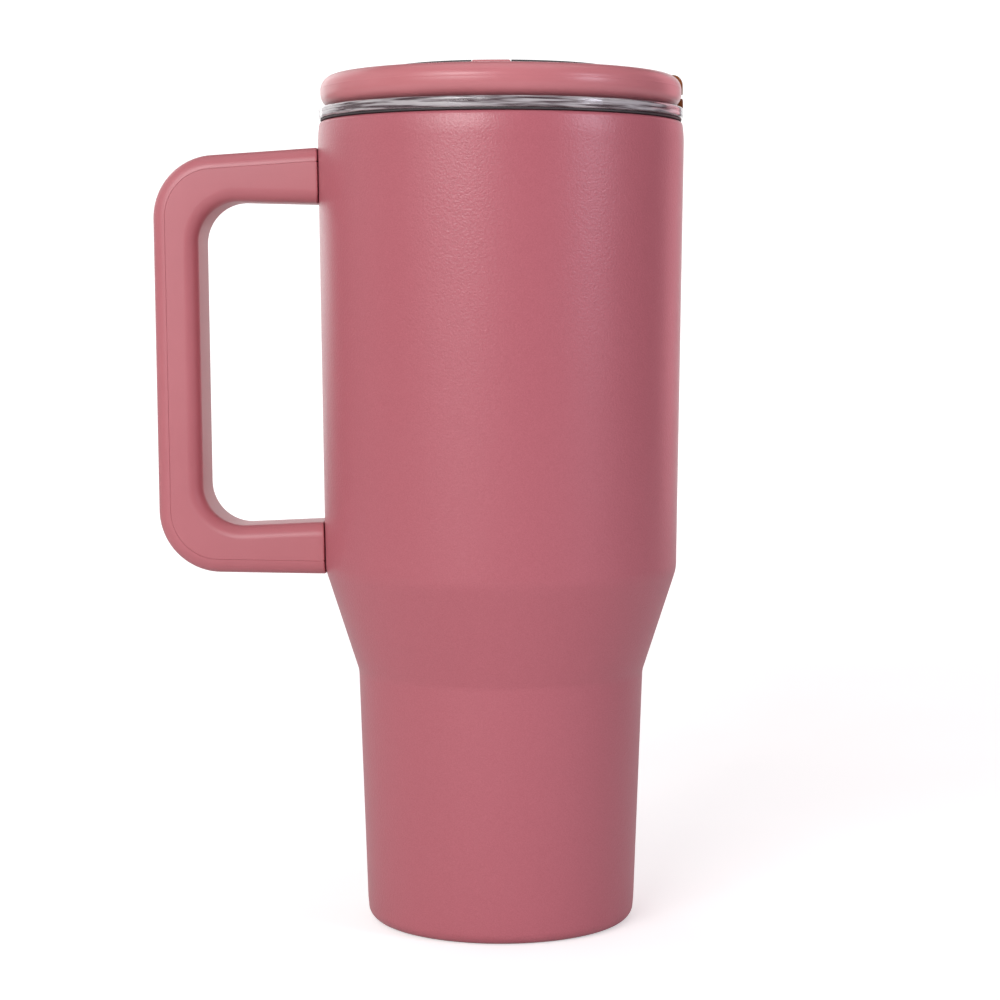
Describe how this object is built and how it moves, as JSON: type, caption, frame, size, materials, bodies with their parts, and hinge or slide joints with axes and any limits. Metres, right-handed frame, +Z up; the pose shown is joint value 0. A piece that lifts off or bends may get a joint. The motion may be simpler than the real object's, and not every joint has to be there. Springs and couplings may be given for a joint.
{
  "type": "insulated travel mug",
  "caption": "Double-walled insulated travel mug with a tapered foot for a cup holder, a moulded side handle and a press-in lid with a turning dial over its ports.",
  "frame": {"origin": "centre of the base on the table, on the vessel's axis", "axes": "+Z up along the vessel's axis; the handle points along -X; the side facing -Y is the pictured front"},
  "size_m": [0.1476, 0.1016, 0.2379],
  "materials": {
    "powder_coat": "dusty-rose powder coat with a fine orange-peel texture",
    "steel": "brushed",
    "handle_plastic": "satin rose, fine moulded grain",
    "ring_plastic": "semi-gloss rose",
    "clear_plastic": "clear polished plastic",
    "silicone": "matt charcoal silicone",
    "dial_plastic": "gloss charcoal",
    "amber_plastic": "gloss copper brown",
    "sealing_glass": "fused sealing glass",
    "getter": "sintered grey metal"
  },
  "bodies": {
    "mug": {"outer_wall": "powder_coat", "inner_wall": "steel", "base_cup": "powder_coat", "vacuum_plug": "sealing_glass", "getter_disc": "getter", "base_pad": "silicone", "handle_frame": "handle_plastic", "handle_cover": "handle_plastic", "upper_bracket": "steel", "lower_bracket": "steel", "upper_screw": "steel", "lower_screw": "steel"},
    "lid": {"lid_base": "clear_plastic", "lid_ring": "ring_plastic", "lid_seal": "silicone", "spring_washer": "steel", "pivot_screw": "steel", "straw_seal": "silicone", "sip_seal": "silicone", "latch_pin": "steel", "latch_catch": "amber_plastic"},
    "dial": {"dial": "dial_plastic", "dial_grip": "ring_plastic"},
    "latch": {"ring_latch": "amber_plastic"}
  },
  "joints": [
    {"name": "lid_lift", "type": "slide", "parent": "mug", "child": "lid", "axis": [0, 0, 1], "range_m": [0, 0.05]},
    {"name": "dial_turn", "type": "hinge", "parent": "lid", "child": "dial", "pos_m": [0, 0, 0.2344], "axis": [0, 0, 1], "range_deg": [-90, 90]},
    {"name": "latch_flip", "type": "hinge", "parent": "lid", "child": "latch", "pos_m": [0.03452, 0.01122, 0.235], "axis": [0.309, -0.9511, 0], "range_deg": [0, 90]}
  ]
}
